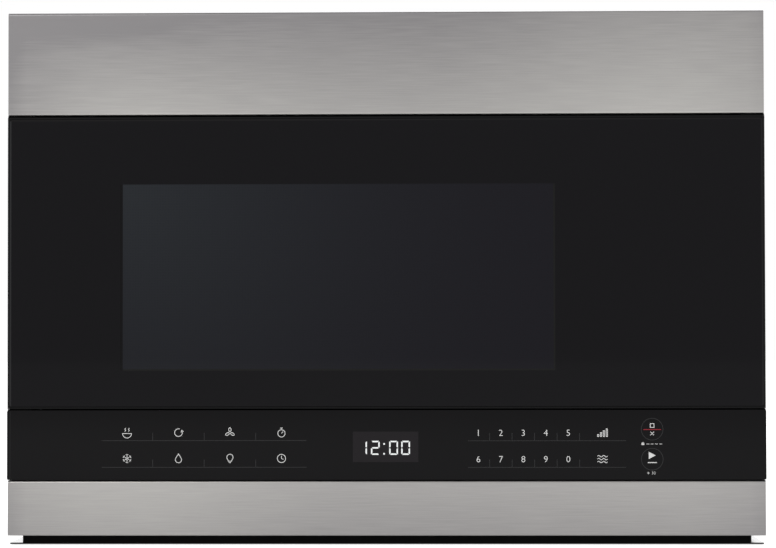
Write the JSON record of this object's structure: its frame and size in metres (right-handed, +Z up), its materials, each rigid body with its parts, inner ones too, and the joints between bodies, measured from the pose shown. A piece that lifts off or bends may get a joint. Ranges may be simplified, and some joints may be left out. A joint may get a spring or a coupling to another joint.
{
  "type": "over the range microwave oven",
  "caption": "Box-shaped microwave oven for hanging over a cooker: glass door, touch strip below it, steel strips, turntable inside, blower and filters for cooking vapour.",
  "frame": {"origin": "middle of the underside of the base pan", "axes": "+X to the right of someone facing the door, +Y from the door to the back, +Z up"},
  "size_m": [0.607, 0.397, 0.427],
  "materials": {
    "brushed_steel": "fine horizontal brushing",
    "grey_paint": "satin light grey powder coat",
    "black_paint": "satin black enamel",
    "zinc_steel": "galvanised sheet",
    "bare_steel": "ground steel",
    "aluminium": "mill finish",
    "cavity_enamel": "light grey acrylic enamel",
    "black_glass": "polished glass, black ceramic print behind",
    "clear_pane": "clear sheet",
    "tray_glass": "clear pressed glass",
    "lamp_glass": "frosted",
    "black_plastic": "fine moulded grain",
    "grey_plastic": "moulded",
    "white_plastic": "moulded",
    "circuit_board": "solder mask",
    "mica": "pressed mica sheet",
    "carbon": "granular",
    "motor_steel": "dipped steel",
    "laminations": "varnished laminations"
  },
  "bodies": {
    "cabinet": {"top_trim": "brushed_steel", "lower_trim": "brushed_steel", "outer_case": "grey_paint", "base_pan": "black_paint", "front_plate": "black_paint", "back_plate": "zinc_steel", "lamp_holder": "zinc_steel", "blower_housing_left": "zinc_steel", "blower_housing_right": "zinc_steel", "blower_bracket": "zinc_steel", "exhaust_collar": "zinc_steel", "waveguide": "zinc_steel", "lower_hinge": "zinc_steel", "upper_hinge": "zinc_steel", "turntable_motor": "zinc_steel", "capacitor": "aluminium", "oven_cavity": "cavity_enamel", "control_glass": "black_glass", "cavity_lamp": "lamp_glass", "cooktop_lamp_lens": "lamp_glass", "control_fascia": "black_plastic", "vent_frame": "black_plastic", "fan_shroud": "black_plastic", "cord_bushing": "black_plastic", "display_module": "grey_plastic", "primary_switch": "grey_plastic", "secondary_switch": "grey_plastic", "monitor_switch": "grey_plastic", "latch_body": "white_plastic", "cooktop_lamp": "white_plastic", "control_board": "circuit_board", "filter_board": "circuit_board", "waveguide_cover": "mica", "charcoal_filter": "carbon", "blower_motor": "motor_steel", "fan_motor": "motor_steel", "magnetron": "motor_steel", "transformer": "laminations"},
    "door": {"door_glass": "black_glass", "door_frame": "black_plastic", "door_panel": "black_paint", "inner_window": "clear_pane", "choke_cover": "black_plastic", "latch_spring": "bare_steel"},
    "latch": {"latch_pawl": "white_plastic"},
    "turntable": {"glass_tray": "tray_glass", "drive_coupler": "black_plastic", "motor_spindle": "bare_steel"},
    "ring": {"roller_ring": "white_plastic"},
    "roller_1": {"roller_1": "white_plastic"},
    "roller_2": {"roller_2": "white_plastic"},
    "roller_3": {"roller_3": "white_plastic"},
    "blower_rotor": {"blower_shaft": "bare_steel", "blower_wheel_left": "black_plastic", "blower_wheel_right": "black_plastic"},
    "cooling_fan": {"fan_blade": "black_plastic"},
    "damper": {"damper_flap": "aluminium"},
    "filter_left": {"grease_filter_left": "aluminium"},
    "filter_right": {"grease_filter_right": "aluminium"}
  },
  "joints": [
    {"name": "door_hinge", "type": "hinge", "parent": "cabinet", "child": "door", "pos_m": [-0.2935, -0.176, 0.2258], "axis": [0, 0, -1], "range_deg": [0, 100]},
    {"name": "latch_slide", "type": "slide", "parent": "door", "child": "latch", "axis": [0, 0, 1], "range_m": [0, 0.004], "stiffness_N_per_m": 300, "springref_m": -0.004},
    {"name": "turntable_spin", "type": "hinge", "parent": "cabinet", "child": "turntable", "pos_m": [-0.038, 0.008, 0.136], "axis": [0, 0, 1], "continuous": true},
    {"name": "ring_spin", "type": "hinge", "parent": "cabinet", "child": "ring", "pos_m": [-0.038, 0.008, 0.1318], "axis": [0, 0, 1], "continuous": true},
    {"name": "roller_1_spin", "type": "hinge", "parent": "ring", "child": "roller_1", "pos_m": [-0.038, 0.096, 0.1318], "axis": [0, 1, 0], "continuous": true},
    {"name": "roller_2_spin", "type": "hinge", "parent": "ring", "child": "roller_2", "pos_m": [-0.11421, -0.036, 0.1318], "axis": [-0.866, -0.5, 0], "continuous": true},
    {"name": "roller_3_spin", "type": "hinge", "parent": "ring", "child": "roller_3", "pos_m": [0.03821, -0.036, 0.1318], "axis": [0.866, -0.5, 0], "continuous": true},
    {"name": "blower_spin", "type": "hinge", "parent": "cabinet", "child": "blower_rotor", "pos_m": [0, 0.14267, 0.3737], "axis": [1, 0, 0], "continuous": true},
    {"name": "cooling_fan_spin", "type": "hinge", "parent": "cabinet", "child": "cooling_fan", "pos_m": [0.23225, 0.149, 0.242], "axis": [0, 1, 0], "continuous": true},
    {"name": "damper_hinge", "type": "hinge", "parent": "cabinet", "child": "damper", "pos_m": [0, 0.1622, 0.422], "axis": [-1, 0, 0], "range_deg": [0, 75]},
    {"name": "grease_filter_left_slide", "type": "slide", "parent": "cabinet", "child": "filter_left", "axis": [0, 1, 0], "range_m": [0, 0.01]},
    {"name": "grease_filter_right_slide", "type": "slide", "parent": "cabinet", "child": "filter_right", "axis": [0, 1, 0], "range_m": [0, 0.01]}
  ],
  "couplings": [
    {"joint": "ring_spin", "follows": "turntable_spin", "ratio": 0.5},
    {"joint": "roller_1_spin", "follows": "turntable_spin", "ratio": -5.8667},
    {"joint": "roller_2_spin", "follows": "turntable_spin", "ratio": -5.8667},
    {"joint": "roller_3_spin", "follows": "turntable_spin", "ratio": -5.8667}
  ]
}
